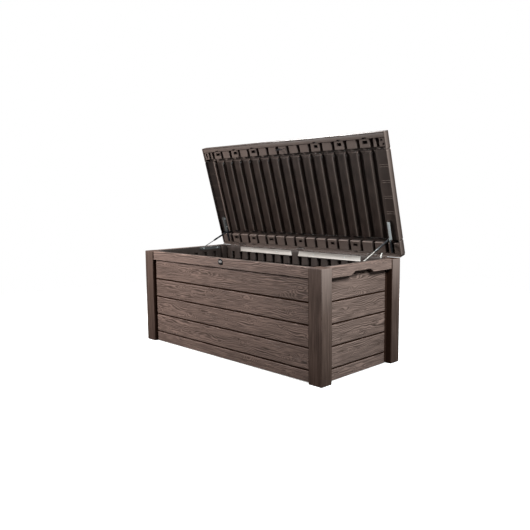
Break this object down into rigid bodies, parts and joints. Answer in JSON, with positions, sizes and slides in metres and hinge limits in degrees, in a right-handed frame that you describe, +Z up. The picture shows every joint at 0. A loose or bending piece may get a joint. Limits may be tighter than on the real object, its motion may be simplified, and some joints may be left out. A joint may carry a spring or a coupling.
{
  "type": "deck storage box",
  "caption": "Outdoor storage box with wood-look plank walls, corner posts, end hand holds and a gas-strut hinged lid, shown open.",
  "frame": {"origin": "on the ground at the middle of the box's footprint, on the underside of the floor beam", "axes": "+X along the front to the right, +Y from the front to the back, +Z up"},
  "size_m": [1.55, 0.7366, 1.3047],
  "materials": {
    "wall_resin": "embossed wood grain, matte",
    "post_resin": "fine upright grain, matte",
    "lid_resin": "moulded, satin underside and grained top",
    "floor_resin": "moulded, matte",
    "white_plastic": "moulded, satin",
    "steel": "zinc plated",
    "galvanised_steel": "galvanised, dull",
    "black_paint": "gloss black"
  },
  "bodies": {
    "box": {"front_wall": "wall_resin", "back_wall": "wall_resin", "side_wall_left": "wall_resin", "side_wall_right": "wall_resin", "post_front_left": "post_resin", "post_front_right": "post_resin", "post_back_left": "post_resin", "post_back_right": "post_resin", "floor_panel_left": "floor_resin", "floor_panel_right": "floor_resin", "floor_beam": "floor_resin", "rim_bar_left": "galvanised_steel", "rim_bar_right": "galvanised_steel", "rim_bar_screw_left_1": "steel", "rim_bar_screw_left_2": "steel", "rim_bar_screw_right_1": "steel", "rim_bar_screw_right_2": "steel", "hinge_pin_left": "steel", "hinge_pin_centre": "steel", "hinge_pin_right": "steel", "strut_wall_plate_left": "steel", "strut_wall_plate_right": "steel", "strut_wall_screw_left_1": "steel", "strut_wall_screw_left_2": "steel", "strut_wall_screw_right_1": "steel", "strut_wall_screw_right_2": "steel", "lock_escutcheon": "black_paint", "corner_hook": "white_plastic"},
    "lid": {"lid_front_beam": "lid_resin", "lid_rear_beam": "lid_resin", "lid_side_frame_left": "lid_resin", "lid_side_frame_right": "lid_resin", "lid_panel": "lid_resin", "lid_catch": "lid_resin", "strut_lid_plate_left": "steel", "strut_lid_plate_right": "steel", "strut_lid_screw_left_1": "steel", "strut_lid_screw_left_2": "steel", "strut_lid_screw_right_1": "steel", "strut_lid_screw_right_2": "steel"},
    "lock": {"lock_plug": "steel", "lock_cam": "steel"},
    "strut_rod_left": {"strut_rod_left": "steel"},
    "strut_tube_left": {"strut_tube_left": "black_paint"},
    "strut_rod_right": {"strut_rod_right": "steel"},
    "strut_tube_right": {"strut_tube_right": "black_paint"}
  },
  "joints": [
    {"name": "lid_hinge", "type": "hinge", "parent": "box", "child": "lid", "pos_m": [0, 0.3565, 0.607], "axis": [1, 0, 0], "range_deg": [0, 74.5], "stiffness_Nm_per_rad": 8, "springref_deg": -137.51},
    {"name": "lock_turn", "type": "hinge", "parent": "box", "child": "lock", "pos_m": [0, -0.32, 0.581], "axis": [0, 1, 0], "range_deg": [0, 90]},
    {"name": "strut_pivot_left", "type": "hinge", "parent": "box", "child": "strut_rod_left", "pos_m": [-0.6995, 0.081, 0.59], "axis": [1, 0, 0], "range_deg": [-18.73, 0]},
    {"name": "strut_slide_left", "type": "slide", "parent": "strut_rod_left", "child": "strut_tube_left", "axis": [0, 0.9122, 0.4099], "range_m": [-0.1006, 0]},
    {"name": "strut_pivot_right", "type": "hinge", "parent": "box", "child": "strut_rod_right", "pos_m": [0.6995, 0.081, 0.59], "axis": [1, 0, 0], "range_deg": [-18.73, 0]},
    {"name": "strut_slide_right", "type": "slide", "parent": "strut_rod_right", "child": "strut_tube_right", "axis": [0, 0.9122, 0.4099], "range_m": [-0.1006, 0]}
  ],
  "couplings": [
    {"joint": "strut_pivot_left", "follows": "lid_hinge", "ratio": -0.238},
    {"joint": "strut_slide_left", "follows": "lid_hinge", "m_per_rad": -0.075806},
    {"joint": "strut_pivot_right", "follows": "lid_hinge", "ratio": -0.238},
    {"joint": "strut_slide_right", "follows": "lid_hinge", "m_per_rad": -0.075806}
  ]
}
